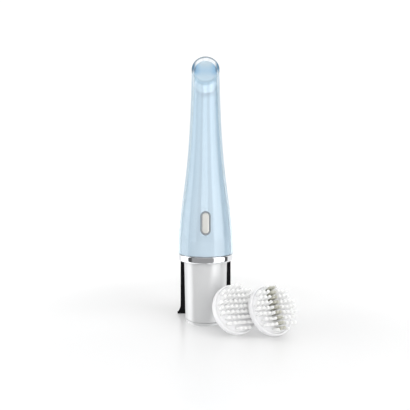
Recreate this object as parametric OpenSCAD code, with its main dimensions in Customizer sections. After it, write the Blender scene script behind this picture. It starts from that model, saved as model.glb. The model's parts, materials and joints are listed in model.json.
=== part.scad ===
// Facial cleansing brush: a tapered battery handle that stands in its charging stand,
// with a drive spindle under a clear cap on the slanted top face and two loose brush heads.
// Millimetres. Origin on the floor at the handle's axis, +Z up, front towards -Y.

/* [Handle] */
// Height of the highest point above the floor
handle_h = 220; // [205:1:240]
// Outer radius where the clear body meets the chrome ring
body_base_r = 22.35; // [21.6:0.1:24]
// Radius that the long taper tends to at its thin end
body_tip_r = 9.85; // [9.6:0.05:11]
// Height over which half of the taper happens
taper_h = 65.2; // [58:0.5:76]
// How sharply the body narrows
taper_power = 2.31; // [2:0.01:2.8]
// Slant of the top face from the horizontal, degrees
face_angle = 53; // [48:1:56]
// Clear outer wall at the chrome ring
clear_wall_low = 1.2; // [0.9:0.05:1.5]
// Clear outer wall at the thin end
clear_wall_top = 2.2; // [1.8:0.05:2.3]
// Wall of the coloured inner shell
inner_wall = 1.1; // [0.8:0.05:1.3]
// Gap between the clear wall and the coloured one
skin_gap = 0.1; // [0.05:0.05:0.3]

/* [Ring and sleeve] */
// Height of the chrome ring's lower face above the floor
ring_z = 48.9; // [44:0.1:52]
// Height of the chrome ring
ring_h = 5.6; // [4.5:0.1:7]
// Sleeve radius at the ring
sleeve_top_r = 17.5; // [17:0.1:18.2]
// Sleeve radius at the foot
sleeve_foot_r = 16.5; // [16.1:0.1:17]
// Sleeve wall
sleeve_wall = 1.1; // [0.8:0.1:1.4]

/* [Button] */
// Height of the button's middle above the floor
button_z = 80; // [76:0.5:86]
// Width of the bezel
bezel_w = 7.6; // [7:0.1:9]
// Height of the bezel
bezel_h = 18; // [15:0.5:20]
// Width of the bezel's rim
bezel_rim = 1; // [0.8:0.1:1.3]
// Clearance between the button and its bezel
button_gap = 0.15; // [0.1:0.05:0.25]
// Travel of the button
button_travel = 0.6; // [0.4:0.1:0.8]

/* [Drive] */
// Diameter of the spindle in its bearing
spindle_d = 4; // [3.4:0.1:4.4]
// Diameter of the spindle's free end, which takes a brush head
drive_end_d = 3.6; // [3:0.1:3.6]
// Thickness of the clear tip cap
cap_t = 6; // [5.5:0.1:6.8]
// Clear skin over the cap's coloured core
cap_skin = 1.1; // [0.8:0.1:1.2]
// Centre distance of the spur stage
lay_y = 3.2; // [3.1:0.05:3.4]
// Teeth on the motor pinion
motor_teeth = 6; // [6:1:6]
// Teeth on the layshaft spur gear
lay_teeth = 14; // [14:1:14]
// Teeth on the bevel pinion
bevel_teeth = 10; // [10:1:10]
// Teeth on the crown gear
crown_teeth = 20; // [20:1:20]
// Distance from the gears' common apex to the middle of the bevel teeth
cone_distance = 5; // [4.8:0.05:5.1]
// Motor can diameter
motor_d = 15; // [14:0.1:15.2]
// Motor can length
motor_l = 28; // [24:0.5:30]
// Running clearance of shafts in their bearings
run_gap = 0.05; // [0.03:0.01:0.08]

/* [Power] */
// Battery cell diameter
cell_d = 14; // [12:0.1:14.5]
// Battery cell length
cell_l = 50; // [44:0.5:50]

/* [Stand] */
// Thickness of the stand's floor plate
plate_t = 2; // [1.9:0.1:2.4]
// How far the floor plate stays inside the sleeve's foot
plate_inset = 0.5; // [0.3:0.1:1.5]
// Gap between the widest part of the sleeve and the back of the stand
back_gap = 1.1; // [0.8:0.1:2]
// Depth of the back from its inner face to its outer face
back_depth = 7.7; // [7:0.1:8.5]
// Distance of the back's front edges behind the handle's axis
back_y = 15; // [13:0.1:16]
// How far the foot of the back flares out
foot_flare = 1.8; // [1:0.1:2.6]
// Wall of the back
back_wall = 1.5; // [1.2:0.1:1.8]

/* [Brush heads] */
// Outer diameter of a head
head_d = 36; // [34:0.2:38]
// Depth of the head's rim
rim_h = 4.7; // [4.5:0.1:6]
// Wall of the rim
rim_wall = 1.3; // [1.2:0.1:1.6]
// Height of the tuft tips above the head's back
tuft_tip_h = 12.6; // [11:0.1:12.8]
// Spacing of the tufts
tuft_pitch = 3.5; // [3.3:0.1:3.8]
// Diameter of a tuft
tuft_d = 2.2; // [1.6:0.1:2.4]
// Lean of a standing head from the vertical, degrees
head_lean = 31; // [26:1:34]
// Turn of a standing head to the right, degrees
head_turn = 30.5; // [29:0.5:34]
// Distance of the heads' floor contact in front of the handle's axis
head_front = 33.8; // [33:0.2:40]
// Distance of the first head to the right of the handle's axis
first_head_x = 25.3; // [24:0.1:28]
// Distance between the two heads
head_spacing = 26; // [25.5:0.5:32]
// How much nearer the front the second head stands
second_head_nearer = 2.4; // [2.4:0.2:6]
// Roll of the rows of tufts about a head's own axis, degrees
head_roll = -6; // [-12:1:6]

/* [Hidden] */

// Smoothness of turned parts and of small round parts
$fn = 72;
small_fn = 32;
// Overlap that makes a cut run clean through a face
eps = 0.5;
// Clearance between pieces that are pressed or laid into one another
seat_gap = 0.04;

// Handle levels
ring_top = ring_z + ring_h;
rest_gap = 0.2;
sleeve_z = plate_t + rest_gap;
floor_edge_r = 1.4;

// Radius of the body at height z, less a wall that grows from `low` at the ring to `top` at the tip
taper_span = body_base_r - body_tip_r;
function body_r(z) = body_tip_r + taper_span / (1 + pow(max(z - ring_top, 0) / taper_h, taper_power));
function wall_at(z, low, top) = low + (top - low) * (z - ring_top) / (handle_h - ring_top);
skin_steps = 26;
function skin_z(i, z0, z1) = z0 + (z1 - z0) * i / skin_steps;
clear_low = clear_wall_low;
clear_top = clear_wall_top;
inner_out_low = clear_low + skin_gap;
inner_out_top = clear_top + skin_gap;
inner_in_low = inner_out_low + inner_wall;
inner_in_top = inner_out_top + inner_wall;
function room_r(z) = body_r(z) - wall_at(z, inner_in_low, inner_in_top);

// Slanted top face: its highest point is at handle_h, and depth is measured down its normal
face_back_y = body_r(handle_h);
face_z = handle_h - face_back_y * tan(face_angle);
seat_t = 1.2;
core_skin = 0.2;
// Turns local +Z onto the face's outward normal and puts local z = 0 at `depth` on the spindle's axis
spindle_depth = cap_t + 3.5;
spindle_slide = (spindle_depth * sin(face_angle) - lay_y) / cos(face_angle);
module on_face(depth = 0, slide = 0) {
  translate([0, 0, face_z]) rotate([face_angle, 0, 0]) translate([0, -slide, -depth]) children();
}
module on_spindle(depth = 0) { on_face(depth, spindle_slide) children(); }
// Everything deeper than `depth` below the slanted face
module below_face(depth) {
  block = 3 * handle_h;
  on_face(depth) translate([-block / 2, -block / 2, -block]) cube(block);
}
// Solid of revolution of the body, less the given walls, between two heights
module body_solid(low, top, z0, z1) {
  outline = [for (i = [0:skin_steps]) let (z = skin_z(i, z0, z1)) [body_r(z) - wall_at(z, low, top), z]];
  rotate_extrude() polygon(concat([[0, z0]], outline, [[0, z1]]));
}
module tube(r_out, r_in, h) {
  difference() {
    cylinder(r = r_out, h = h);
    translate([0, 0, -eps]) cylinder(r = r_in, h = h + 2 * eps);
  }
}
module oblong(w, h, t) {
  // Upright oblong prism that starts at y = 0 and runs towards -Y
  rotate([90, 0, 0]) {
    translate([-w / 2, -(h - w) / 2, 0]) cube([w, h - w, t]);
    for (side = [-1, 1]) translate([0, side * (h - w) / 2, 0]) cylinder(d = w, h = t);
  }
}

// Drive train
boss_top = cap_t - 1.6;
end_clear = 0.3;
drive_end_depth = cap_skin + core_skin + end_clear;
spindle_r = spindle_d / 2;
drive_end_r = drive_end_d / 2;
drive_end_l = boss_top - drive_end_depth;
bearing_r = spindle_r + 1;
boss_r = 5.4;
housing_r = 4;
housing_depth = cap_t + 2.2;
collar_t = 0.5;
collar_lip = 0.7;
collar_gap = 0.15;
collar_depth = housing_depth + collar_gap + collar_t;
seal_t = 0.9;
crown_disc_t = 0.8;
crown_disc_depth = collar_depth + crown_disc_t;
bevel_cone = atan(sin(180 - face_angle) / (crown_teeth / bevel_teeth + cos(180 - face_angle)));
crown_cone = 180 - face_angle - bevel_cone;
gear_module = 2 * lay_y / (motor_teeth + lay_teeth);
motor_pitch_r = gear_module * motor_teeth / 2;
lay_pitch_r = gear_module * lay_teeth / 2;
tooth_half_h = 0.24;
tooth_gap = 0.1;
tooth_share = 0.36;
apex_z = face_z - spindle_slide * sin(face_angle) - spindle_depth * cos(face_angle);
bevel_r = cone_distance * sin(bevel_cone);
bevel_z = apex_z - cone_distance * cos(bevel_cone);
lay_shaft_r = 0.75;
motor_shaft_r = 0.5;
bevel_face = 1.6;

// Motor and gearbox levels: below the bevel gears, and low enough for the taper to leave the rails room
rail_w = 1;
rail_d = 3.2;
rail_gap = 0.2;
rail_x = motor_d / 2 + rail_gap;
rail_rise = 4;
gear_drop = 21.3;
function height_for(r) = ring_top + taper_h * pow(taper_span / (r - body_tip_r) - 1, 1 / taper_power);
rail_limit_z = height_for(norm([rail_x + rail_w, rail_d / 2]) + inner_in_top);
case_z = min(bevel_z - gear_drop, rail_limit_z - rail_rise);
case_floor = 1.2;
case_h = 11.6;
case_wall = 0.8;
case_r = motor_d / 2;
cover_z = case_z + case_h;
cover_t = 1.2;
spur_z = case_z + case_floor + 3.2;
spur_h = 2.6;
tower_r = 1.9;
tower_top = bevel_z - 2.4;
motor_z = case_z - motor_l;
can_wall = 0.7;
end_cap_t = 1.6;
magnet_t = 1.2;
magnet_low = 7;
magnet_l = motor_l - 13;
air_gap = 1;
rotor_r = motor_d / 2 - can_wall - magnet_t - air_gap;
commutator_r = 2;
commutator_h = 3.2;
commutator_z = 3.4;

// Battery
base_cap_h = 3.4;
cell_z = sleeve_z + base_cap_h + 4.2;
cell_r = cell_d / 2;
holder_gap = 0.2;
holder_wall = 1.2;
holder_foot_t = 1.6;
holder_r = cell_r + holder_gap + holder_wall;
holder_top = cell_z + cell_l + 1.6;
contact_t = 0.4;

// Chassis
ring_in_r = 12.4;
rail_top = case_z + rail_rise;
deck_lap = 0.9;
deck_z = max(ring_top + 6, holder_top - deck_lap);
deck_t = 1.6;
deck_gap = 0.3;
motor_deck_t = 1.4;
screw_r = 1;
screw_head_r = 1.8;
screw_head_h = 1;
screw_head_gap = 0.1;
screw_ring_r = ring_in_r + screw_head_r;
screw_boss_r = 2;

// Board and switch
board_gap = 1.6;
board_y = holder_r + board_gap;
board_t = 1.2;
board_z = deck_z + deck_t + 1;
board_full_h = 46;
board_h = min(board_full_h, motor_z - motor_deck_t - 1 - board_z);
board_front = board_y + board_t;
board_full_w = 15;
board_edge_gap = 0.3;
board_w = min(board_full_w, 2 * (sqrt(pow(room_r(board_z + board_h), 2) - pow(board_front, 2)) - board_edge_gap));
switch_w = 6;
switch_t = 2.4;
switch_stem = 0.8;
switch_stem_r = 1.5;
switch_face = board_front + switch_t + switch_stem;

// Button levels, measured from the axis towards the front
bezel_proud = 0.3;
button_proud = 0.55;
bezel_back = body_r(button_z) - 3.9;
flange_t = 0.8;
flange_grow = 0.7;
gasket_grow = 3;
press_gap = 0.1;
button_in_w = bezel_w - 2 * bezel_rim;
button_in_h = bezel_h - 2 * bezel_rim;

// Ring and base
ring_edge = 1.5;
seal_w = 1;
seal_h = 0.8;
sleeve_in_foot = sleeve_foot_r - sleeve_wall;
function sleeve_in_r(z) = sleeve_in_foot + (sleeve_top_r - sleeve_foot_r) * (z - sleeve_z) / (ring_z - sleeve_z);
base_room_r = min(sleeve_in_foot, sleeve_in_r(sleeve_z + base_cap_h + holder_foot_t));
key_r = 5;
key_h = 1.2;
key_gap = 0.4;
coil_t = 1;
coil_rim = 1.2;
coil_gap = 0.1;
press_fit = 0.03;

// Stand
plate_r = sleeve_foot_r - plate_inset;
back_in_r = max(sleeve_top_r, sleeve_foot_r) + back_gap;
back_out_r = back_in_r + back_depth;
foot_r = back_out_r + foot_flare;
back_top = ring_z - 0.7;
foot_h = 6;
cover_disc_t = 0.5;
coil_pocket_r = plate_r - 1.6;
coil_pocket_h = 1.3;
stand_coil_t = 0.6;
back_mid_r = (back_in_r + back_out_r) / 2;
stand_board_t = 1;
stand_board_w = 18;
stand_board_h = 26;
socket_w = 9;
socket_h = 6.5;
socket_z = 7;
foot_pad_r = 2.2;
foot_pad_t = 0.8;
back_screw_angles = [58, 122];

// Brush heads
head_r = head_d / 2;
cup_floor = 1.3;
plate_gap = 0.15;
tuft_plate_z = 3;
tuft_plate_t = 1.6;
tuft_z = tuft_plate_z + tuft_plate_t;
hub_r = 4.2;
hub_flange_r = 6.5;
socket_depth = tuft_plate_z - 0.3;
splay = 12;
field_r = head_r - rim_wall - 1.7;
row_splay = 3;
row_half = floor(field_r / tuft_pitch);

// ---- Handle: shells and cap ----

module outer_shell() color([0.78, 0.88, 0.95]) difference() {
  intersection() {
    difference() {
      body_solid(0, 0, ring_top, handle_h);
      body_solid(clear_low, clear_top, ring_top - eps, handle_h + eps);
    }
    below_face(cap_t);
  }
  translate([0, 0, button_z]) oblong(bezel_w + 2 * button_gap, bezel_h + 2 * button_gap, 2 * body_base_r);
}

module inner_shell() color([0.72, 0.83, 0.92]) difference() {
  intersection() {
    difference() {
      body_solid(inner_out_low, inner_out_top, ring_top, handle_h);
      body_solid(inner_in_low, inner_in_top, ring_top - eps, handle_h + eps);
    }
    below_face(cap_t);
  }
  translate([0, 0, button_z]) oblong(bezel_w + 2 * button_gap, bezel_h + 2 * button_gap, 2 * body_base_r);
}

// Slice of the handle between two depths below the slanted face, less the given walls
module face_slice(low, top, from_depth, to_depth) {
  difference() {
    intersection() {
      body_solid(low, top, ring_top, handle_h + eps);
      below_face(from_depth);
    }
    below_face(to_depth);
  }
}

module tip_cap() color([0.62, 0.8, 0.92]) difference() {
  face_slice(0, 0, 0, cap_t - press_gap);
  face_slice(inner_out_low - skin_gap + seat_gap, inner_out_top - skin_gap + seat_gap, cap_skin - seat_gap, cap_t + eps);
}

module cap_core() color([0.66, 0.79, 0.89]) difference() {
  face_slice(inner_out_low, inner_out_top, cap_skin, cap_t - press_gap);
  on_spindle(cap_t) cylinder(r = boss_r + run_gap, h = cap_t - cap_skin - core_skin);
}

module drive_seat() color([0.75, 0.79, 0.83]) difference() {
  union() {
    intersection() {
      body_solid(inner_in_low + plate_gap, inner_in_top + plate_gap, ring_top, handle_h);
      below_face(cap_t);
      on_face(cap_t + seat_t) translate([-handle_h, -handle_h, 0]) cube(2 * handle_h);
    }
    on_spindle(cap_t) cylinder(r = boss_r, h = cap_t - boss_top);
    on_spindle(housing_depth) cylinder(r = housing_r, h = housing_depth - cap_t);
  }
  on_spindle(housing_depth + eps) cylinder(r = bearing_r, h = housing_depth);
}

// ---- Handle: drive ----

module spindle_seal() color([0.2, 0.2, 0.22])
  on_spindle(boss_top + seal_t) tube(bearing_r, spindle_r + run_gap, seal_t);

module spindle_bearing() color([0.72, 0.6, 0.35])
  on_spindle(housing_depth) tube(bearing_r, spindle_r + run_gap, housing_depth - boss_top - seal_t - tooth_gap);

module spindle() color([0.8, 0.81, 0.83]) {
  on_spindle(collar_depth) cylinder(r = spindle_r, h = collar_depth - boss_top);
  on_spindle(boss_top) cylinder(r = drive_end_r, h = drive_end_l);
  on_spindle(collar_depth) cylinder(r = spindle_r + collar_lip, h = collar_t);
}

// Crown gear: teeth are thin radial bars whose pitch line follows the crown cone
crown_pitch_r = cone_distance * sin(crown_cone);
crown_drop = cone_distance * cos(180 - crown_cone);
crown_teeth_depth = spindle_depth + crown_drop + tooth_half_h - tooth_gap;
crown_tooth_w = tooth_share * 360 / crown_teeth * crown_pitch_r * PI / 180;
module crown_gear() color([0.93, 0.92, 0.88]) {
  on_spindle(crown_disc_depth) cylinder(r = crown_pitch_r + bevel_face / 2, h = crown_disc_t);
  for (i = [0:crown_teeth - 1])
    on_spindle(crown_teeth_depth)
      rotate((i + 0.5) * 360 / crown_teeth)
        translate([crown_pitch_r - bevel_face / 2, -crown_tooth_w / 2, 0])
          cube([bevel_face - tooth_gap, crown_tooth_w, crown_teeth_depth - crown_disc_depth + tooth_gap]);
}

// Layshaft with its bevel pinion: tooth bars lie along the pinion's pitch cone
bevel_tooth_w = tooth_share * 360 / bevel_teeth * bevel_r * PI / 180;
bevel_hub_in = (cone_distance - bevel_face / 2) * sin(bevel_cone) - tooth_half_h - tooth_gap;
bevel_hub_out = (cone_distance + bevel_face / 2) * sin(bevel_cone) - tooth_half_h - tooth_gap;
module layshaft() color([0.86, 0.86, 0.84]) translate([0, lay_y, 0]) {
  translate([0, 0, case_z + 0.5]) cylinder(r = lay_shaft_r, h = bevel_z - case_z - 0.5, $fn = small_fn);
  translate([0, 0, bevel_z - bevel_face / 2])
    cylinder(r1 = bevel_hub_out, r2 = bevel_hub_in, h = bevel_face * cos(bevel_cone));
  for (i = [0:bevel_teeth - 1])
    translate([0, 0, apex_z]) rotate((i + 0.5) * 360 / bevel_teeth) rotate([0, 180 - bevel_cone, 0])
      translate([-tooth_half_h, -bevel_tooth_w / 2, cone_distance - bevel_face / 2])
        cube([2 * tooth_half_h + tooth_gap + 0.2, bevel_tooth_w, bevel_face]);
}

// Spur teeth are thin bars standing on a root tube
module spur_teeth(teeth, pitch_r, turn, bore_r) {
  w = tooth_share * 2 * PI * pitch_r / teeth;
  root_r = pitch_r - tooth_half_h - tooth_gap;
  difference() {
    cylinder(r = root_r, h = spur_h, $fn = small_fn);
    translate([0, 0, -eps]) cylinder(r = bore_r, h = spur_h + 2 * eps, $fn = small_fn);
  }
  for (i = [0:teeth - 1])
    rotate(turn + i * 360 / teeth) translate([root_r - tooth_gap, -w / 2, 0])
      cube([tooth_half_h + 2 * tooth_gap + tooth_half_h, w, spur_h]);
}

module spur_gear() color([0.9, 0.9, 0.88]) translate([0, lay_y, spur_z])
  spur_teeth(lay_teeth, lay_pitch_r, -90, lay_shaft_r);

module gearbox_case() color([0.3, 0.32, 0.34]) translate([0, 0, case_z]) difference() {
  cylinder(r = case_r, h = case_h);
  translate([0, 0, case_floor]) cylinder(r = case_r - case_wall, h = case_h);
  translate([0, 0, -eps]) cylinder(r = motor_shaft_r + 0.4, h = case_h, $fn = small_fn);
  translate([0, lay_y, 0.4]) cylinder(r = lay_shaft_r + run_gap, h = case_h, $fn = small_fn);
}

module gearbox_cover() color([0.35, 0.37, 0.4]) difference() {
  union() {
    translate([0, 0, cover_z]) cylinder(r = case_r, h = cover_t);
    translate([0, lay_y, cover_z]) cylinder(r = tower_r, h = tower_top - cover_z);
  }
  translate([0, lay_y, cover_z - eps]) cylinder(r = lay_shaft_r + run_gap, h = handle_h, $fn = small_fn);
}

module motor_can() color([0.66, 0.67, 0.69]) translate([0, 0, motor_z]) difference() {
  cylinder(d = motor_d, h = motor_l);
  translate([0, 0, -eps]) cylinder(d = motor_d - 2 * can_wall, h = motor_l - can_wall + eps);
  cylinder(r = motor_shaft_r + 0.4, h = motor_l + eps, $fn = small_fn);
}

module motor_magnets() color([0.28, 0.27, 0.27]) translate([0, 0, motor_z + magnet_low]) difference() {
  tube(motor_d / 2 - can_wall - seat_gap, motor_d / 2 - can_wall - magnet_t, magnet_l);
  for (turn = [0, 90]) rotate(turn) translate([-motor_d, -1, -eps]) cube([2 * motor_d, 2, magnet_l + 2 * eps]);
}

module motor_end_cap() color([0.15, 0.15, 0.16]) translate([0, 0, motor_z]) difference() {
  cylinder(d = motor_d - 2 * can_wall, h = end_cap_t);
  translate([0, 0, 0.5]) cylinder(r = motor_shaft_r + run_gap, h = end_cap_t, $fn = small_fn);
}

module motor_rotor() color([0.7, 0.5, 0.35]) {
  translate([0, 0, motor_z + 0.6])
    cylinder(r = motor_shaft_r, h = spur_z + spur_h - motor_z - 0.2, $fn = small_fn);
  translate([0, 0, motor_z + magnet_low + 1]) cylinder(r = rotor_r, h = magnet_l - 2);
  translate([0, 0, motor_z + commutator_z]) cylinder(r = commutator_r, h = commutator_h);
  translate([0, 0, spur_z]) spur_teeth(motor_teeth, motor_pitch_r, 90 + 180 / motor_teeth, motor_shaft_r - 0.1);
}

// ---- Handle: chassis and electronics ----

module chassis() color([0.88, 0.89, 0.9]) difference() {
  union() {
    translate([0, 0, deck_z]) cylinder(r = room_r(deck_z + deck_t) - deck_gap, h = deck_t);
    translate([0, 0, motor_z - motor_deck_t])
      cylinder(r = room_r(motor_z) - deck_gap, h = motor_deck_t);
    for (side = [-1, 1]) {
      translate([side * (rail_x + rail_w / 2) - rail_w / 2, -rail_d / 2, deck_z])
        cube([rail_w, rail_d, rail_top - deck_z]);
      for (z = [board_z + 5, board_z + board_h - 9])
        translate([side * (rail_x - rail_w / 2) - rail_w / 2, -board_y, z])
          cube([rail_w, board_y - rail_d / 2 + 0.4, 4]);
    }
    for (i = [0:2]) rotate(90 + i * 120)
      translate([screw_ring_r, 0, ring_top]) cylinder(r = screw_boss_r, h = deck_z - ring_top + eps);
  }
  translate([0, 0, ring_top - eps]) cylinder(r = holder_r + deck_gap, h = deck_z + deck_t - ring_top + 2 * eps);
  translate([0, 0, motor_z - motor_deck_t - eps]) cylinder(r = 3, h = motor_deck_t + 2 * eps);
  translate([0, 0, button_z])
    oblong(bezel_w + gasket_grow + 2 * deck_gap, bezel_h + gasket_grow + 2 * deck_gap, 2 * body_base_r);
  for (i = [0:2]) rotate(90 + i * 120)
    translate([screw_ring_r, 0, ring_top - eps]) cylinder(r = screw_r, h = 5, $fn = small_fn);
}

module circuit_board() color([0.12, 0.4, 0.25])
  translate([-board_w / 2, -board_front, board_z]) cube([board_w, board_t, board_h]);

module tact_switch() color([0.12, 0.12, 0.13]) {
  translate([-switch_w / 2, -board_front - switch_t, button_z - switch_w / 2]) cube([switch_w, switch_t, switch_w]);
  translate([0, -board_front - switch_t + 0.1, button_z]) rotate([90, 0, 0])
    cylinder(r = switch_stem_r, h = switch_stem + 0.1, $fn = small_fn);
}

module button_bezel() color([0.55, 0.6, 0.65]) difference() {
  intersection() {
    translate([0, -bezel_back, button_z]) oblong(bezel_w, bezel_h, body_base_r);
    body_solid(-bezel_proud, -bezel_proud, ring_top, handle_h);
  }
  translate([0, 0, button_z]) oblong(button_in_w, button_in_h, 2 * body_base_r);
}

module power_button() color([0.86, 0.86, 0.84]) {
  intersection() {
    translate([0, -bezel_back + press_gap + flange_t / 2, button_z])
      oblong(button_in_w - 2 * button_gap, button_in_h - 2 * button_gap, body_base_r);
    body_solid(-button_proud, -button_proud, ring_top, handle_h);
  }
  translate([0, -bezel_back + press_gap + flange_t, button_z])
    oblong(button_in_w + flange_grow, button_in_h + flange_grow, flange_t);
  translate([0, -switch_face - button_travel - press_gap, button_z]) rotate([90, 0, 0])
    cylinder(r = 1.4, h = bezel_back - switch_face - button_travel - 2 * press_gap - flange_t / 2, $fn = small_fn);
}

module button_gasket() color([0.25, 0.26, 0.28]) difference() {
  intersection() {
    translate([0, 0, button_z]) oblong(bezel_w + gasket_grow, bezel_h + gasket_grow, body_base_r);
    body_solid(inner_in_low + 0.05, inner_in_top + 0.05, ring_top, handle_h);
  }
  body_solid(inner_in_low + 0.85, inner_in_top + 0.85, ring_top - eps, handle_h + eps);
  translate([0, 0, button_z]) oblong(bezel_w + 2 * button_gap, bezel_h + 2 * button_gap, 2 * body_base_r);
}

// ---- Handle: ring, sleeve and battery ----

module ring_seal() color([0.16, 0.16, 0.17]) translate([0, 0, ring_top - seal_h])
  tube(body_base_r - inner_out_low - seat_gap, body_base_r - inner_out_low - seal_w + seat_gap, seal_h);

module ring_screws() color([0.7, 0.71, 0.73]) for (i = [0:2]) rotate(90 + i * 120)
  translate([screw_ring_r, 0, ring_z]) {
    cylinder(r = screw_head_r, h = screw_head_h, $fn = small_fn);
    cylinder(r = screw_r, h = ring_h + 4, $fn = small_fn);
  }

module chrome_ring() color([0.8, 0.81, 0.83]) difference() {
  rotate_extrude() difference() {
    union() {
      translate([ring_in_r, ring_z + ring_edge]) square([body_base_r - ring_in_r, ring_h - 2 * ring_edge]);
      translate([ring_in_r, ring_z]) square([body_base_r - ring_edge - ring_in_r, ring_h]);
      for (z = [ring_z + ring_edge, ring_top - ring_edge])
        translate([body_base_r - ring_edge, z]) circle(ring_edge, $fn = 48);
    }
    translate([body_base_r - inner_out_low - seal_w, ring_top - seal_h]) square([seal_w, seal_h + eps]);
  }
  for (i = [0:2]) rotate(90 + i * 120) translate([screw_ring_r, 0, ring_z - eps]) {
    cylinder(r = screw_head_r + screw_head_gap, h = screw_head_h + eps, $fn = small_fn);
    cylinder(r = screw_r, h = ring_h + 2 * eps, $fn = small_fn);
  }
}

module base_sleeve() color([0.82, 0.83, 0.84]) rotate_extrude() {
  union() {
    polygon([
      [sleeve_in_foot, sleeve_z + floor_edge_r], [sleeve_foot_r, sleeve_z + floor_edge_r],
      [sleeve_top_r, ring_z], [sleeve_top_r - sleeve_wall, ring_z]
    ]);
    intersection() {
      translate([sleeve_foot_r - floor_edge_r, sleeve_z + floor_edge_r]) circle(floor_edge_r, $fn = 48);
      translate([sleeve_in_foot, sleeve_z]) square([sleeve_wall, floor_edge_r + 0.01]);
    }
  }
}

module base_cap() color([0.7, 0.71, 0.72]) difference() {
  translate([0, 0, sleeve_z]) cylinder(r = base_room_r - press_fit, h = base_cap_h);
  translate([0, 0, sleeve_z - eps]) cylinder(r = key_r + key_gap, h = key_h + key_gap + eps);
  translate([0, 0, sleeve_z + base_cap_h - coil_t]) difference() {
    cylinder(r = base_room_r - coil_rim, h = coil_t + eps);
    translate([0, 0, -eps]) cylinder(r = key_r + 1, h = coil_t + 3 * eps);
  }
}

module receiver_coil() color([0.72, 0.42, 0.25]) translate([0, 0, sleeve_z + base_cap_h - coil_t])
  tube(base_room_r - coil_rim - coil_gap, key_r + 1 + coil_gap, coil_t - coil_gap);

module battery_holder() color([0.2, 0.21, 0.23]) difference() {
  union() {
    translate([0, 0, sleeve_z + base_cap_h]) cylinder(r = base_room_r - holder_gap, h = holder_foot_t);
    translate([0, 0, sleeve_z + base_cap_h]) cylinder(r = holder_r, h = holder_top - sleeve_z - base_cap_h);
  }
  translate([0, 0, sleeve_z + base_cap_h + 1.6]) cylinder(r = cell_r + holder_gap, h = 2 * cell_l);
  translate([-cell_r * 0.7, -2 * cell_d, sleeve_z + base_cap_h + 3]) cube([cell_r * 1.4, 2 * cell_d, 2 * cell_l]);
}

module battery_cell() color([0.2, 0.55, 0.35]) {
  translate([0, 0, cell_z]) cylinder(r = cell_r, h = cell_l);
  translate([0, 0, cell_z + cell_l - eps]) cylinder(r = 2.4, h = eps + 0.8);
}

module battery_contacts() color([0.85, 0.84, 0.8]) {
  translate([0, 0, cell_z + cell_l + 0.85]) cylinder(r = cell_r - 0.3, h = contact_t);
  translate([0, 0, sleeve_z + base_cap_h + 1.65]) cylinder(r = cell_r - 1, h = contact_t);
  translate([0, 0, sleeve_z + base_cap_h + 1.65 + contact_t])
    cylinder(r1 = 3.4, r2 = 1.6, h = cell_z - 0.05 - sleeve_z - base_cap_h - 1.65 - contact_t);
}

// ---- Charging stand ----

module behind(y) translate([-4 * foot_r, y, -eps]) cube([8 * foot_r, 4 * foot_r, handle_h]);

module stand_base() color([0.08, 0.08, 0.09]) difference() {
  union() {
    cylinder(r = plate_r, h = plate_t);
    intersection() {
      cylinder(r = foot_r, h = plate_t);
      behind(back_y - 0.8);
    }
    translate([0, 0, plate_t]) cylinder(r = key_r, h = key_h);
  }
  translate([0, 0, -eps]) cylinder(r = coil_pocket_r, h = coil_pocket_h + eps);
  for (a = [45, 90, 135]) rotate(a) translate([back_mid_r, 0, -eps])
    cylinder(r = foot_pad_r, h = foot_pad_t + eps, $fn = small_fn);
  for (a = back_screw_angles) rotate(a) translate([back_mid_r, 0, -eps])
    cylinder(r = screw_r + screw_head_gap, h = plate_t + 2 * eps, $fn = small_fn);
  for (a = back_screw_angles) rotate(a) translate([back_mid_r, 0, -eps])
    cylinder(r = screw_head_r + screw_head_gap, h = screw_head_h + eps, $fn = small_fn);
}

module stand_back() color([0.05, 0.05, 0.06]) difference() {
  intersection() {
    union() {
      translate([0, 0, plate_t]) cylinder(r = back_out_r, h = back_top - plate_t);
      translate([0, 0, plate_t]) cylinder(r1 = foot_r - 0.3, r2 = back_out_r, h = foot_h);
    }
    behind(back_y);
  }
  translate([0, 0, plate_t - eps]) cylinder(r = back_in_r, h = handle_h);
  intersection() {
    translate([0, 0, plate_t - eps]) tube(back_out_r - back_wall, back_in_r + back_wall, back_top - back_wall - plate_t + eps);
    behind(back_y + back_wall);
    union() {
      translate([-stand_board_w / 2 - 1, 0, 0]) cube([stand_board_w + 2, 2 * foot_r, handle_h]);
      translate([-2 * foot_r, 0, plate_t + 7]) cube([4 * foot_r, 2 * foot_r, handle_h]);
    }
  }
  translate([-socket_w / 2 - 0.1, back_mid_r, socket_z - 0.1]) cube([socket_w + 0.2, foot_r, socket_h + 0.2]);
  for (a = back_screw_angles) rotate(a) translate([back_mid_r, 0, plate_t - eps])
    cylinder(r = screw_r, h = 5.5, $fn = small_fn);
}

module stand_coil() color([0.75, 0.45, 0.25]) translate([0, 0, coil_pocket_h - stand_coil_t - 0.05])
  tube(coil_pocket_r - 0.6, 5, stand_coil_t);

module stand_coil_cover() color([0.1, 0.1, 0.11]) cylinder(r = coil_pocket_r - 0.05, h = cover_disc_t);

module stand_board() color([0.1, 0.35, 0.22])
  translate([-stand_board_w / 2, back_mid_r - 2.2, plate_t + 0.1]) cube([stand_board_w, stand_board_t, stand_board_h]);

module dc_socket() color([0.14, 0.14, 0.15]) difference() {
  translate([-socket_w / 2, back_mid_r - 2.1 + stand_board_t, socket_z])
    cube([socket_w, back_out_r - 0.5 - back_mid_r + 2.1 - stand_board_t, socket_h]);
  translate([0, back_out_r + 1, socket_z + socket_h / 2]) rotate([90, 0, 0]) {
    tube(2.6, 0.8, 5);
  }
}

module stand_screws() color([0.6, 0.6, 0.62]) for (a = back_screw_angles) rotate(a) translate([back_mid_r, 0, 0.1]) {
  cylinder(r = screw_head_r, h = screw_head_h - 0.15, $fn = small_fn);
  cylinder(r = screw_r, h = 6.6, $fn = small_fn);
}

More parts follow.
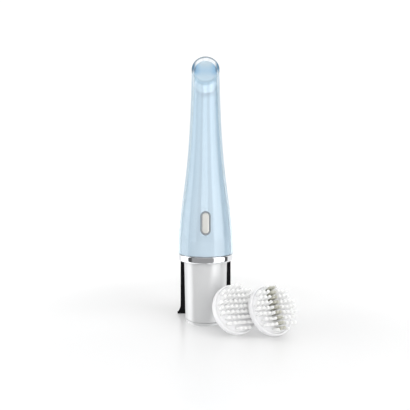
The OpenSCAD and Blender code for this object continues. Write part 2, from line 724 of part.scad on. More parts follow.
module stand_feet() color([0.2, 0.2, 0.2]) for (a = [45, 90, 135]) rotate(a) translate([back_mid_r, 0, 0])
  cylinder(r = foot_pad_r - 0.05, h = foot_pad_t, $fn = small_fn);

// ---- Brush heads: local z = 0 is the back of the cup, and local -Y points down along the face ----

// Places a head so that the back edge of its rim touches the floor `x` to the right of the axis
module standing_head(x, nearer = 0) {
  translate([x, -head_front - nearer, 0]) rotate(head_turn) rotate([90 - head_lean, 0, 0])
    translate([0, head_r, 0]) rotate(head_roll) children();
}

module cup() color([0.95, 0.95, 0.95]) difference() {
  union() {
    cylinder(r = head_r - 0.6, h = 0.6);
    translate([0, 0, 0.6]) cylinder(r = head_r, h = rim_h - 0.6);
  }
  translate([0, 0, cup_floor]) cylinder(r = head_r - rim_wall, h = rim_h);
  translate([0, 0, -eps]) cylinder(r = hub_r + run_gap, h = cup_floor + 2 * eps);
}

module tuft_plate() color([0.93, 0.93, 0.93])
  translate([0, 0, tuft_plate_z]) cylinder(r = head_r - rim_wall - plate_gap, h = tuft_plate_t);

// Hub with the blind socket that takes the spindle; its flange sits between the cup and the tuft plate
module hub() color([0.85, 0.85, 0.86]) difference() {
  union() {
    cylinder(r = hub_r, h = tuft_plate_z);
    translate([0, 0, cup_floor]) cylinder(r = hub_flange_r, h = tuft_plate_z - cup_floor);
  }
  translate([0, 0, -eps]) cylinder(r = drive_end_r + run_gap, h = socket_depth + eps);
}

// One tuft at (x, y), leaning outwards with its distance from the middle
module tuft(x, y, lean) {
  angle = lean * norm([x, y]) / field_r;
  rise = tuft_d / 2 * sin(angle);
  translate([x, y, tuft_z + rise]) rotate(atan2(y, x)) rotate([0, angle, 0])
    cylinder(d = tuft_d, h = tuft_tip_h - tuft_z - 0.5, $fn = 16);
}

module plain_tufts() color([0.97, 0.97, 0.97])
  for (i = [-row_half:row_half], j = [-row_half:row_half])
    if (norm([i, j]) * tuft_pitch <= field_r) tuft(i * tuft_pitch, j * tuft_pitch, splay);

// The second head keeps its middle free for a double row
module side_tufts() color([0.97, 0.97, 0.97])
  for (i = [-row_half:row_half], j = [-row_half:row_half])
    if (i != 0 && norm([i, j]) * tuft_pitch <= field_r)
      tuft(i * tuft_pitch + sign(i) * 0.6, j * tuft_pitch, splay);

module centre_row() color([0.72, 0.72, 0.62])
  for (side = [-1, 1], j = [-row_half:row_half])
    tuft(side * tuft_d * 0.54, j * tuft_pitch, row_splay);

module head_a_cup() standing_head(first_head_x) cup();
module head_a_tuft_plate() standing_head(first_head_x) tuft_plate();
module head_a_hub() standing_head(first_head_x) hub();
module head_a_tufts() standing_head(first_head_x) plain_tufts();

module in_head_b() standing_head(first_head_x + head_spacing, second_head_nearer) children();
module head_b_cup() in_head_b() cup();
module head_b_tuft_plate() in_head_b() tuft_plate();
module head_b_hub() in_head_b() hub();
module head_b_tufts() in_head_b() side_tufts();
module head_b_centre_row() in_head_b() centre_row();

outer_shell();
inner_shell();
tip_cap();
cap_core();
drive_seat();
spindle_seal();
spindle_bearing();
spindle();
crown_gear();
layshaft();
spur_gear();
gearbox_case();
gearbox_cover();
motor_can();
motor_magnets();
motor_end_cap();
motor_rotor();
chassis();
circuit_board();
tact_switch();
button_bezel();
power_button();
button_gasket();
ring_seal();
ring_screws();
chrome_ring();
base_sleeve();
base_cap();
receiver_coil();
battery_holder();
battery_cell();
battery_contacts();
stand_base();
stand_back();
stand_coil();
stand_coil_cover();
stand_board();
dc_socket();
stand_screws();
stand_feet();
head_a_cup();
head_a_tuft_plate();
head_a_hub();
head_a_tufts();
head_b_cup();
head_b_tuft_plate();
head_b_hub();
head_b_tufts();
head_b_centre_row();
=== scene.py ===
"""Facial cleansing brush in its charging stand, with two loose brush heads beside it."""

import json
import math

import bmesh
import bpy
from mathutils import Matrix, Vector


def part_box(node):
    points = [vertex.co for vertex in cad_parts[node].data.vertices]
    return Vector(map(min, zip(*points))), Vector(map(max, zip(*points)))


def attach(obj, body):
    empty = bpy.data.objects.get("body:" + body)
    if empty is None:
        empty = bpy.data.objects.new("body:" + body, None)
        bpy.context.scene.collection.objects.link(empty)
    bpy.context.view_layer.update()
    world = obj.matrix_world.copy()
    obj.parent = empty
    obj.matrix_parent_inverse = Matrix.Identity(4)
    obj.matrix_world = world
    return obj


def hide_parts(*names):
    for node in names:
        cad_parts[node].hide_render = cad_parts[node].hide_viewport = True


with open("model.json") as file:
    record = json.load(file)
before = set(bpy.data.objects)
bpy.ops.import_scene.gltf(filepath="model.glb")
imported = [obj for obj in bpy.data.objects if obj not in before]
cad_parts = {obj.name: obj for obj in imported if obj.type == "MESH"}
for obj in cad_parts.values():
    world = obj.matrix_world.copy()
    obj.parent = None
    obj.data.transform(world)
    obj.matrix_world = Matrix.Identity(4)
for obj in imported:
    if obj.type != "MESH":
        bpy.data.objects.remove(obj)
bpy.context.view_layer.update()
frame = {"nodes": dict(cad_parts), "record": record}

MM = 0.001
SEAM = 0.001 * MM
SHARP_ANGLE = math.radians(40)
NODES = frame["nodes"]
MOUNTS = {m["name"]: m for m in frame["record"]["mounts"]}

# Handle outline, from the frame's own boxes
RING_LOW, RING_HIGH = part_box("chrome_ring")
SHELL_LOW, SHELL_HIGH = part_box("outer_shell")
SLEEVE_LOW, SLEEVE_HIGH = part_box("base_sleeve")
HANDLE_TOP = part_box("tip_cap")[1].z
BODY_FOOT_R = SHELL_HIGH.x
BODY_FOOT_Z = SHELL_LOW.z
TIP_R = 9.85 * MM
TAPER_H = 65.2 * MM
TAPER_POWER = 2.31
CLEAR_WALL = (1.2 * MM, 2.2 * MM)
SKIN_GAP = 0.1 * MM
PEARL_WALL = 1.1 * MM

# The slanted face looks along the spindle's axis
FACE_NORMAL = Vector(MOUNTS["brush_spindle"]["axis"])
FACE_SLOPE = math.atan2(-FACE_NORMAL.y, FACE_NORMAL.z)
CAP_DEPTH = 6 * MM
CAP_SEAM = 0.05 * MM


def body_radius(z):
    """Outer radius of the handle at height z."""
    rise = max(z - BODY_FOOT_Z, 0) / TAPER_H
    return TIP_R + (BODY_FOOT_R - TIP_R) / (1 + rise**TAPER_POWER)


def wall(z, low, high):
    """A wall that grows from low at the ring to high at the tip."""
    return low + (high - low) * (z - BODY_FOOT_Z) / (HANDLE_TOP - BODY_FOOT_Z)


FACE_CENTRE = Vector((0, 0, HANDLE_TOP - body_radius(HANDLE_TOP) * math.tan(FACE_SLOPE)))


# ---- Mesh helpers ----


def piece(name, bm, material, body, stands_for):
    """Turns a bmesh into a finished piece that rides on a body and stands for CAD nodes."""
    mesh = bpy.data.meshes.new(name)
    bm.to_mesh(mesh)
    bm.free()
    thing = bpy.data.objects.new(name, mesh)
    bpy.context.scene.collection.objects.link(thing)
    mesh.shade_smooth()
    mesh.set_sharp_from_angle(angle=SHARP_ANGLE)
    mesh.materials.append(material)
    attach(thing, body)
    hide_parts(*stands_for)


def face_outwards(bm):
    bmesh.ops.recalc_face_normals(bm, faces=bm.faces)


def arc(cx, cz, radius, start, end, steps):
    """Points of an arc in the (radius, height) plane, in degrees."""
    angles = [math.radians(start + (end - start) * i / steps) for i in range(steps + 1)]
    return [(cx + radius * math.cos(a), cz + radius * math.sin(a)) for a in angles]


def slab(inner, outer, low, high, edge, steps=4):
    """Outline of a flat disc or ring with rounded outer edges."""
    return [(inner, low), *arc(outer - edge, low + edge, edge, -90, 0, steps),
            *arc(outer - edge, high - edge, edge, 0, 90, steps), (inner, high)]


def lathe(outline):
    """Spins a closed outline of (radius, height) points once round the Z axis."""
    bm = bmesh.new()
    verts = [bm.verts.new((r, 0, z)) for r, z in outline]
    edges = [bm.edges.new(pair) for pair in zip(verts, verts[1:] + verts[:1])]
    bmesh.ops.spin(bm, geom=verts + edges, cent=(0, 0, 0), axis=(0, 0, 1), angle=2 * math.pi,
                   steps=128, use_merge=True)
    bmesh.ops.remove_doubles(bm, verts=bm.verts, dist=SEAM)
    face_outwards(bm)
    return bm


def cut(bm, point, normal, fill=True):
    """Removes what lies beyond the plane, and closes the opening."""
    made = bmesh.ops.bisect_plane(bm, geom=bm.verts[:] + bm.edges[:] + bm.faces[:], dist=0.0001 * MM,
                                  plane_co=point, plane_no=normal, clear_outer=True)
    rim = [g for g in made["geom_cut"] if isinstance(g, bmesh.types.BMEdge)]
    if fill:
        bmesh.ops.contextual_create(bm, geom=rim)
    return rim


def round_off(bm, edges, width, segments=4):
    """Rounds the given edges."""
    bmesh.ops.bevel(bm, geom=list(edges), offset=width, offset_type="OFFSET", affect="EDGES",
                    segments=segments, profile=0.5, material=-1, clamp_overlap=True)


def sharp_edges(bm):
    """Edges where two faces meet at a sharp angle."""
    bm.normal_update()
    return [e for e in bm.edges if len(e.link_faces) == 2 and e.calc_face_angle(0) > SHARP_ANGLE]


def thicken(bm, way):
    """Gives a flat shape its depth along a vector."""
    made = bmesh.ops.extrude_face_region(bm, geom=bm.faces[:])
    moved = [g for g in made["geom"] if isinstance(g, bmesh.types.BMVert)]
    bmesh.ops.translate(bm, verts=moved, vec=way)
    face_outwards(bm)


def carve(bm, cutters):
    """Subtracts closed bmeshes from bm and returns the result."""
    scene = bpy.context.scene
    things = []
    for i, shape in enumerate([bm, *cutters]):
        mesh = bpy.data.meshes.new(f"carve_{i}")
        shape.to_mesh(mesh)
        shape.free()
        things.append(bpy.data.objects.new(f"carve_{i}", mesh))
        scene.collection.objects.link(things[-1])
    for cutter in things[1:]:
        subtract = things[0].modifiers.new("subtract", "BOOLEAN")
        subtract.object, subtract.operation, subtract.solver = cutter, "DIFFERENCE", "EXACT"
    bpy.context.view_layer.update()
    result = bmesh.new()
    finished = things[0].evaluated_get(bpy.context.evaluated_depsgraph_get())
    result.from_mesh(finished.to_mesh())
    finished.to_mesh_clear()
    for thing in things:
        mesh = thing.data
        bpy.data.objects.remove(thing)
        bpy.data.meshes.remove(mesh)
    return result


def oblong(width, height):
    """Flat upright oblong with full-round ends, in the plane y = 0, as one face."""
    bm = bmesh.new()
    bmesh.ops.create_circle(bm, cap_ends=True, segments=64, radius=width / 2)
    bmesh.ops.rotate(bm, verts=bm.verts, cent=(0, 0, 0), matrix=Matrix.Rotation(math.pi / 2, 3, "X"))
    straight = (height - width) / 2
    for v in bm.verts:
        v.co.z += math.copysign(straight, v.co.z) if abs(v.co.z) > 0.01 * MM else straight
    return bm


# ---- Materials ----


def link(tree, source, target):
    tree.links.new(source, target)


def surface_group():
    """Node group: slow colour drift, fine speckle, uneven gloss and a grain height."""
    group = bpy.data.node_groups.new("moulded_surface", "ShaderNodeTree")
    face = group.interface
    for name, kind, value in (
        ("Colour", "NodeSocketColor", (0.8, 0.8, 0.8, 1)),
        ("Second Colour", "NodeSocketColor", (0.7, 0.7, 0.7, 1)),
        ("Drift Scale", "NodeSocketFloat", 40.0),
        ("Grain Scale", "NodeSocketFloat", 900.0),
        ("Speckle", "NodeSocketFloat", 0.1),
        ("Gloss", "NodeSocketFloat", 0.3),
        ("Gloss Spread", "NodeSocketFloat", 0.05),
    ):
        face.new_socket(name, in_out="INPUT", socket_type=kind).default_value = value
    face.new_socket("Colour", in_out="OUTPUT", socket_type="NodeSocketColor")
    face.new_socket("Roughness", in_out="OUTPUT", socket_type="NodeSocketFloat")
    face.new_socket("Height", in_out="OUTPUT", socket_type="NodeSocketFloat")
    new = group.nodes.new
    given, made = new("NodeGroupInput"), new("NodeGroupOutput")
    place = new("ShaderNodeTexCoord")
    drift, grain = new("ShaderNodeTexNoise"), new("ShaderNodeTexNoise")
    drift.inputs["Detail"].default_value = 3
    grain.inputs["Detail"].default_value = 2
    tone, speck = new("ShaderNodeMix"), new("ShaderNodeMix")
    tone.data_type = speck.data_type = "RGBA"
    speck.blend_type = "MULTIPLY"
    dark = new("ShaderNodeMapRange")
    dark.inputs["To Min"].default_value = 0.6
    gloss = new("ShaderNodeMath")
    gloss.operation = "MULTIPLY_ADD"
    centred = new("ShaderNodeMath")
    centred.operation = "SUBTRACT"
    centred.inputs[1].default_value = 0.5
    for noise, scale in ((drift, "Drift Scale"), (grain, "Grain Scale")):
        link(group, place.outputs["Object"], noise.inputs["Vector"])
        link(group, given.outputs[scale], noise.inputs["Scale"])
    link(group, drift.outputs["Fac"], tone.inputs["Factor"])
    link(group, given.outputs["Colour"], tone.inputs["A"])
    link(group, given.outputs["Second Colour"], tone.inputs["B"])
    link(group, grain.outputs["Fac"], dark.inputs["Value"])
    link(group, given.outputs["Speckle"], speck.inputs["Factor"])
    link(group, tone.outputs["Result"], speck.inputs["A"])
    link(group, dark.outputs["Result"], speck.inputs["B"])
    link(group, speck.outputs["Result"], made.inputs["Colour"])
    link(group, drift.outputs["Fac"], centred.inputs[0])
    link(group, centred.outputs["Value"], gloss.inputs[0])
    link(group, given.outputs["Gloss Spread"], gloss.inputs[1])
    link(group, given.outputs["Gloss"], gloss.inputs[2])
    link(group, gloss.outputs["Value"], made.inputs["Roughness"])
    link(group, grain.outputs["Fac"], made.inputs["Height"])
    return group


MOULDED = surface_group()


def finish_of(name, colour, second=None, gloss=0.3, spread=0.05, drift=40.0, grain=900.0, speckle=0.06,
              bump=0.02, **plain):
    """A Principled material whose colour, gloss and grain come from the moulded-surface group."""
    material = bpy.data.materials.new(name)
    material.use_nodes = True
    tree = material.node_tree
    shader = tree.nodes["Principled BSDF"]
    surface = tree.nodes.new("ShaderNodeGroup")
    surface.node_tree = MOULDED
    for socket, value in (("Colour", (*colour, 1)), ("Second Colour", (*(second or colour), 1)),
                          ("Drift Scale", drift), ("Grain Scale", grain), ("Speckle", speckle),
                          ("Gloss", gloss), ("Gloss Spread", spread)):
        surface.inputs[socket].default_value = value
    link(tree, surface.outputs["Colour"], shader.inputs["Base Color"])
    link(tree, surface.outputs["Roughness"], shader.inputs["Roughness"])
    if bump:
        relief = tree.nodes.new("ShaderNodeBump")
        relief.inputs["Strength"].default_value = bump
        relief.inputs["Distance"].default_value = 0.05 * MM
        link(tree, surface.outputs["Height"], relief.inputs["Height"])
        link(tree, relief.outputs["Normal"], shader.inputs["Normal"])
    for socket, value in plain.items():
        shader.inputs[socket.replace("_", " ")].default_value = value
    return material


def clear_plastic(name, density):
    """Clear moulded plastic: a clear coat for the gloss, and a body that tints with its thickness."""
    material = finish_of(name, (0.98, 0.99, 1.0), (0.96, 0.98, 1.0), gloss=0.02, spread=0.01, drift=15.0,
                         speckle=0.0, bump=0, Transmission_Weight=1.0, IOR=1.04, Coat_Weight=1.0,
                         Coat_Roughness=0.03)
    tree = material.node_tree
    tint_depth = tree.nodes.new("ShaderNodeVolumeAbsorption")
    tint_depth.inputs["Color"].default_value = (0.66, 0.77, 0.83, 1)
    tint_depth.inputs["Density"].default_value = density
    link(tree, tint_depth.outputs["Volume"], tree.nodes["Material Output"].inputs["Volume"])
    return material


def add_node(tree, kind, **settings):
    """A node with its properties and input values set; numbered inputs are given as in0, in1 and so on."""
    node = tree.nodes.new(kind)
    for key, value in settings.items():
        if key.startswith("in") and key[2:].isdigit():
            node.inputs[int(key[2:])].default_value = value
        else:
            setattr(node, key, value)
    return node


def ramp_between(tree, source, low, high, to_low=0.0, to_high=1.0):
    """Smooth step of a value between two limits."""
    step = add_node(tree, "ShaderNodeMapRange", interpolation_type="SMOOTHSTEP")
    for socket, value in (("From Min", low), ("From Max", high), ("To Min", to_low), ("To Max", to_high)):
        step.inputs[socket].default_value = value
    link(tree, source, step.inputs["Value"])
    return step.outputs["Result"]


def product(tree, first, second):
    """Product of two values, such as two masks."""
    times = add_node(tree, "ShaderNodeMath", operation="MULTIPLY")
    link(tree, first, times.inputs[0])
    link(tree, second, times.inputs[1])
    return times.outputs["Value"]


def blend_colour(tree, factor, first, second):
    """Mix of two colours, each a plain colour or a socket."""
    mix = add_node(tree, "ShaderNodeMix", data_type="RGBA")
    link(tree, factor, mix.inputs["Factor"])
    for socket, colour in (("A", first), ("B", second)):
        if isinstance(colour, tuple):
            mix.inputs[socket].default_value = (*colour, 1)
        else:
            link(tree, colour, mix.inputs[socket])
    return mix.outputs["Result"]


def base_colour(material):
    """A material's tree, its shader's colour input, and the socket that feeds it."""
    tree = material.node_tree
    target = tree.nodes["Principled BSDF"].inputs["Base Color"]
    return tree, target, target.links[0].from_socket


def coordinates(tree, origin=(0, 0, 0), turn=(0, 0, 0)):
    """X, Y and Z of a frame with the given origin and turn, read from the object's own coordinates."""
    place = add_node(tree, "ShaderNodeTexCoord")
    frame_of = add_node(tree, "ShaderNodeMapping", vector_type="TEXTURE")
    frame_of.inputs["Location"].default_value = origin
    frame_of.inputs["Rotation"].default_value = turn
    split = add_node(tree, "ShaderNodeSeparateXYZ")
    link(tree, place.outputs["Object"], frame_of.inputs["Vector"])
    link(tree, frame_of.outputs["Vector"], split.inputs["Vector"])
    return split.outputs["X"], split.outputs["Y"], split.outputs["Z"]


def axis_distance(tree):
    """Distance from the handle's axis."""
    place = add_node(tree, "ShaderNodeTexCoord")
    flat = add_node(tree, "ShaderNodeVectorMath", operation="MULTIPLY", in1=(1, 1, 0))
    length = add_node(tree, "ShaderNodeVectorMath", operation="LENGTH")
    link(tree, place.outputs["Object"], flat.inputs[0])
    link(tree, flat.outputs["Vector"], length.inputs[0])
    return length.outputs["Value"]


def magnitude(tree, source):
    """A value without its sign."""
    size = add_node(tree, "ShaderNodeMath", operation="ABSOLUTE")
    link(tree, source, size.inputs[0])
    return size.outputs["Value"]


CLEAR = clear_plastic("clear_wall_plastic", density=170)
CLEAR_TIP = clear_plastic("clear_tip_plastic", density=60)
PEARL = dict(gloss=0.4, drift=12.0, grain=2500.0, speckle=0.04, Coat_Weight=1.0, Coat_IOR=1.12,
             Coat_Roughness=0.15, Coat_Tint=(0.72, 0.81, 0.86, 1))
PEARL_BLUE = finish_of("pearl_blue_shell", (0.88, 0.88, 0.90), (0.91, 0.90, 0.91), **PEARL)
TIP_CORE = finish_of("pearl_blue_core", (0.84, 0.88, 0.92), (0.87, 0.90, 0.93), **PEARL)
CHROME = finish_of("ring_chrome", (0.86, 0.87, 0.89), (0.82, 0.83, 0.85), gloss=0.06, spread=0.02,
                   Metallic=1.0, bump=0.004)
BEZEL_CHROME = finish_of("bezel_chrome", (0.36, 0.39, 0.42), (0.30, 0.33, 0.36), gloss=0.25, spread=0.03,
                         Metallic=0.3, bump=0.004)
SATIN_SILVER = finish_of("sleeve_satin_silver", (0.68, 0.685, 0.69), (0.65, 0.655, 0.66), gloss=0.32,
                         drift=25.0, grain=4000.0, speckle=0.06, Metallic=0.3, bump=0.01)
PEARL_BUTTON = finish_of("button_pearl", (0.66, 0.655, 0.62), (0.72, 0.715, 0.69), gloss=0.3, drift=180.0,
                         Metallic=0.4)
GLOSS_BLACK = finish_of("stand_gloss_black", (0.004, 0.004, 0.005), (0.007, 0.007, 0.008), gloss=0.06,
                        spread=0.03, bump=0.003, Specular_IOR_Level=0.15)
HEAD_WHITE = finish_of("head_white_plastic", (0.80, 0.80, 0.81), (0.77, 0.77, 0.78), gloss=0.3, bump=0.01)
PLATE_WHITE = finish_of("tuft_plate_plastic", (0.80, 0.80, 0.81), (0.77, 0.77, 0.78), gloss=0.4, bump=0.01)
STEEL = finish_of("turned_steel", (0.62, 0.63, 0.65), (0.55, 0.56, 0.58), gloss=0.25, Metallic=1.0)
BRONZE = finish_of("bearing_bronze", (0.55, 0.40, 0.20), (0.48, 0.34, 0.17), gloss=0.35, Metallic=1.0)
GEAR_WHITE = finish_of("gear_acetal", (0.85, 0.84, 0.80), (0.80, 0.79, 0.75), gloss=0.4)
DARK_PLASTIC = finish_of("dark_plastic", (0.02, 0.02, 0.022), (0.03, 0.03, 0.032), gloss=0.45, bump=0.05)
FRAME_GREY = finish_of("frame_plastic", (0.62, 0.63, 0.65), (0.57, 0.58, 0.60), gloss=0.4, bump=0.04)
COPPER = finish_of("copper_winding", (0.62, 0.30, 0.15), (0.50, 0.22, 0.10), gloss=0.3, Metallic=1.0)
RUBBER = finish_of("seal_rubber", (0.02, 0.02, 0.02), (0.03, 0.03, 0.03), gloss=0.7, bump=0.1)
BOARD = finish_of("board_lacquer", (0.01, 0.12, 0.05), (0.015, 0.16, 0.07), gloss=0.3, bump=0.03)
CELL_WRAP = finish_of("cell_wrap", (0.02, 0.25, 0.12), (0.03, 0.29, 0.15), gloss=0.3)
FLOOR_WHITE = finish_of("floor_white", (0.84, 0.84, 0.84), (0.83, 0.83, 0.83), gloss=0.25, spread=0.02,
                        drift=2.0, grain=40.0, speckle=0.0, bump=0)


def glow_far_floor():
    """The floor glows away from the object, so that it runs into the background without a line."""
    tree = FLOOR_WHITE.node_tree
    shader = tree.nodes["Principled BSDF"]
    far = ramp_between(tree, axis_distance(tree), 0.10, 0.45, 0.0, 0.45)
    glow = add_node(tree, "ShaderNodeCombineColor")
    for channel in ("Red", "Green", "Blue"):
        link(tree, far, glow.inputs[channel])
    link(tree, glow.outputs["Color"], shader.inputs["Emission Color"])
    shader.inputs["Emission Strength"].default_value = 1.0


glow_far_floor()

SLOT_FINISH = {
    "clear": CLEAR, "pearl_blue": PEARL_BLUE, "tip_clear": CLEAR_TIP, "chrome": CHROME,
    "satin_silver": SATIN_SILVER, "bezel_metal": BEZEL_CHROME, "button_pearl": PEARL_BUTTON,
    "stand_black": GLOSS_BLACK, "head_white": HEAD_WHITE, "tuft_white": HEAD_WHITE,
    "tuft_olive": FRAME_GREY, "steel": STEEL, "bronze": BRONZE, "gear_white": GEAR_WHITE,
    "dark_plastic": DARK_PLASTIC, "frame_grey": FRAME_GREY, "copper": COPPER, "rubber": RUBBER,
    "board_green": BOARD, "cell_green": CELL_WRAP,
}


def finish_cad_nodes():
    """Gives every CAD node the finish of its material slot."""
    for entry in frame["record"]["subparts"]:
        mesh = NODES[entry["node"]].data
        mesh.materials.clear()
        mesh.materials.append(SLOT_FINISH[entry["material_slot"]])


# ---- Handle ----


ABOVE_TIP = HANDLE_TOP + MM


def side_line(foot, steps, low, high):
    """Points up the handle's side from a foot height, a wall's thickness inside its outer face."""
    heights = [foot + (ABOVE_TIP - foot) * i / steps for i in range(steps + 1)]
    return [(body_radius(z) - wall(z, low, high), z) for z in heights]


def slanted_shell(outside, inside):
    """A spun shell between two walls that ends at the slanted plane, with its cut rim closed."""
    bm = lathe(side_line(BODY_FOOT_Z, 90, *outside) + side_line(BODY_FOOT_Z, 90, *inside)[::-1])
    rim = cut(bm, FACE_CENTRE - FACE_NORMAL * CAP_DEPTH, FACE_NORMAL, fill=False)
    bmesh.ops.bridge_loops(bm, edges=rim)
    face_outwards(bm)
    return bm


BEZEL_LOW, BEZEL_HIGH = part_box("button_bezel")
BEZEL_W = BEZEL_HIGH.x - BEZEL_LOW.x
BEZEL_H = BEZEL_HIGH.z - BEZEL_LOW.z
BEZEL_Z = (BEZEL_HIGH.z + BEZEL_LOW.z) / 2
BEZEL_RIM = 1.0 * MM
BEZEL_FIT = 0.15 * MM
BEZEL_DEPTH = 3.6 * MM


def button_window():
    """Cutter for the hole that the bezel sits in."""
    bm = oblong(BEZEL_W + 2 * BEZEL_FIT, BEZEL_H + 2 * BEZEL_FIT)
    thicken(bm, (0, -2 * BODY_FOOT_R, 0))
    bmesh.ops.translate(bm, verts=bm.verts, vec=(0, 0, BEZEL_Z))
    return bm


def make_shells():
    """Clear outer wall, and the pearl shell just inside it."""
    low, high = CLEAR_WALL
    clear = slanted_shell((0, 0), (low, high))
    piece("clear_wall", carve(clear, [button_window()]), CLEAR, "handle", ["outer_shell"])
    low, high = low + SKIN_GAP, high + SKIN_GAP
    pearl = slanted_shell((low, high), (low + PEARL_WALL, high + PEARL_WALL))
    piece("pearl_shell", carve(pearl, [button_window()]), PEARL_BLUE, "handle", ["inner_shell"])


TIP_EDGE = 1.1 * MM
TIP_BORE_R = 5.45 * MM
CAP_SKIN = 1.1 * MM
CORE_SKIN = 0.2 * MM
CORE_GAP = 0.05 * MM
CORE_EDGE = 1.2 * MM


def slanted_plug(side_wall, face_depth, edge, close_foot):
    """The last slice of the handle, less its side wall, with a rounded rim on the slanted face."""
    foot = SHELL_HIGH.z - 60 * MM
    bm = lathe([(0, foot), *side_line(foot, 60, *side_wall), (0, ABOVE_TIP)])
    cut(bm, FACE_CENTRE - FACE_NORMAL * (CAP_DEPTH - CAP_SEAM), -FACE_NORMAL, fill=close_foot)
    rim = cut(bm, FACE_CENTRE - FACE_NORMAL * face_depth, FACE_NORMAL)
    round_off(bm, rim, edge, segments=6)
    return bm


def paint_tip_skin_shade():
    """Painted shade round the rim of the slanted face: a dark line, darker towards the top, and deep blue at
    its two sides.
    """
    tree, target, base = base_colour(CLEAR_TIP)
    x, slope, depth = coordinates(tree, FACE_CENTRE, (FACE_SLOPE, 0, 0))
    radius = body_radius(FACE_CENTRE.z)
    at_rim = ramp_between(tree, axis_distance(tree), radius - 2.0 * MM, radius - 1.0 * MM)
    near_face = ramp_between(tree, depth, -1.2 * MM, -0.5 * MM)
    rim = product(tree, at_rim, near_face)
    upwards = ramp_between(tree, slope, -6 * MM, 4 * MM)
    # Painted shade: the rim line runs from pale blue-grey at the bottom to dark grey-blue at the top.
    rim_shade_colour = blend_colour(tree, upwards, (0.64, 0.74, 0.80), (0.26, 0.33, 0.39))
    rim_shaded = blend_colour(tree, rim, base, rim_shade_colour)
    # Painted shade: deep blue on the face's two sides, under its upper half.
    wide = ramp_between(tree, magnitude(tree, x), radius - 4.2 * MM, radius - 1.4 * MM)
    upper = product(tree, ramp_between(tree, slope, -7 * MM, 1 * MM),
                    ramp_between(tree, slope, 15 * MM, 6 * MM))
    deep = ramp_between(tree, depth, -6.0 * MM, -2.5 * MM)
    side_shade_mask = product(tree, product(tree, wide, upper), deep)
    link(tree, blend_colour(tree, side_shade_mask, rim_shaded, (0.05, 0.18, 0.31)), target)


def paint_tip_core_light():
    """Painted reflection on the core's face, from a warm grey at its top through blue to pale blue, and
    painted deep-blue shade at its two sides.
    """
    tree, target, base = base_colour(TIP_CORE)
    x, slope, depth = coordinates(tree, FACE_CENTRE, (FACE_SLOPE, 0, 0))
    on_face = ramp_between(tree, depth, -CAP_SKIN - 1.2 * MM, -CAP_SKIN - 0.4 * MM)
    warm = ramp_between(tree, slope, -2 * MM, 11 * MM)
    middle = product(tree, ramp_between(tree, slope, -11 * MM, 1 * MM), on_face)
    blue = blend_colour(tree, middle, base, (0.58, 0.74, 0.86))
    warmed = blend_colour(tree, product(tree, warm, on_face), blue, (0.86, 0.87, 0.87))
    # Painted shade: the face's two sides turn a deeper blue, carrying on the dark crescents of the skin.
    wide = ramp_between(tree, magnitude(tree, x), 3.0 * MM, 7.5 * MM)
    upper = product(tree, ramp_between(tree, slope, -10 * MM, -1 * MM),
                    ramp_between(tree, slope, 13 * MM, 5 * MM))
    link(tree, blend_colour(tree, product(tree, wide, upper), warmed, (0.36, 0.62, 0.82)), target)


def make_tip():
    """Clear skin over a coloured core, which has a blind bore for the spindle's boss."""
    low, high = CLEAR_WALL
    skin = slanted_plug((0, 0), 0, TIP_EDGE, close_foot=False)
    inside = slanted_plug((low, high), CAP_SKIN, CORE_EDGE, close_foot=False)
    bmesh.ops.reverse_faces(inside, faces=inside.faces)
    mesh = bpy.data.meshes.new("inside")
    inside.to_mesh(mesh)
    inside.free()
    skin.from_mesh(mesh)
    bpy.data.meshes.remove(mesh)
    bmesh.ops.bridge_loops(skin, edges=[e for e in skin.edges if e.is_boundary])
    face_outwards(skin)
    piece("clear_tip", skin, CLEAR_TIP, "cap", ["tip_cap"])

    core = slanted_plug((low + CORE_GAP, high + CORE_GAP), CAP_SKIN + CORE_GAP, CORE_EDGE, close_foot=True)
    face_outwards(core)
    bore = bmesh.new()
    length = CAP_DEPTH - CAP_SKIN - CORE_SKIN
    bmesh.ops.create_cone(bore, cap_ends=True, segments=64, radius1=TIP_BORE_R, radius2=TIP_BORE_R,
                          depth=2 * length)
    turn = FACE_NORMAL.to_track_quat("Z", "Y").to_matrix().to_4x4()
    axis_point = Vector(MOUNTS["brush_spindle"]["pos_m"])
    on_face = axis_point + FACE_NORMAL * (FACE_CENTRE - axis_point).dot(FACE_NORMAL)
    centre = on_face - FACE_NORMAL * (CAP_SKIN + CORE_SKIN + length)
    bmesh.ops.transform(bore, verts=bore.verts, matrix=Matrix.Translation(centre) @ turn)
    piece("tip_core", carve(core, [bore]), TIP_CORE, "cap", ["cap_core"])


def lay_on_body(bm, proud):
    """Moves a flat front-facing shape onto the handle's curved front, keeping its own relief."""
    for v in bm.verts:
        z = v.co.z + BEZEL_Z
        front = math.sqrt(body_radius(z) ** 2 - v.co.x**2)
        v.co = Vector((v.co.x, v.co.y - front - proud, z))


def fit_to_front(bm, edge, segments, proud):
    """Gives a flat shape its depth and a rounded front rim, and lays it on the handle."""
    thicken(bm, (0, BEZEL_DEPTH, 0))
    front = [e for e in sharp_edges(bm) if all(v.co.y < BEZEL_DEPTH / 2 for v in e.verts)]
    round_off(bm, front, edge, segments)
    lay_on_body(bm, proud)


def make_button():
    """Bezel ring and domed oblong button, both following the handle's curve."""
    ring = oblong(BEZEL_W, BEZEL_H)
    bmesh.ops.inset_region(ring, faces=ring.faces[:], thickness=BEZEL_RIM, use_even_offset=True,
                           use_boundary=True)
    middle = max(ring.faces, key=lambda f: f.calc_area())
    bmesh.ops.delete(ring, geom=[middle], context="FACES_ONLY")
    fit_to_front(ring, edge=0.35 * MM, segments=4, proud=0.3 * MM)
    piece("bezel_ring", ring, BEZEL_CHROME, "handle", ["button_bezel"])

    inset = BEZEL_RIM + BEZEL_FIT
    key = oblong(BEZEL_W - 2 * inset, BEZEL_H - 2 * inset)
    fit_to_front(key, edge=0.9 * MM, segments=6, proud=0.5 * MM)
    piece("button_key", key, PEARL_BUTTON, "button", ["power_button"])


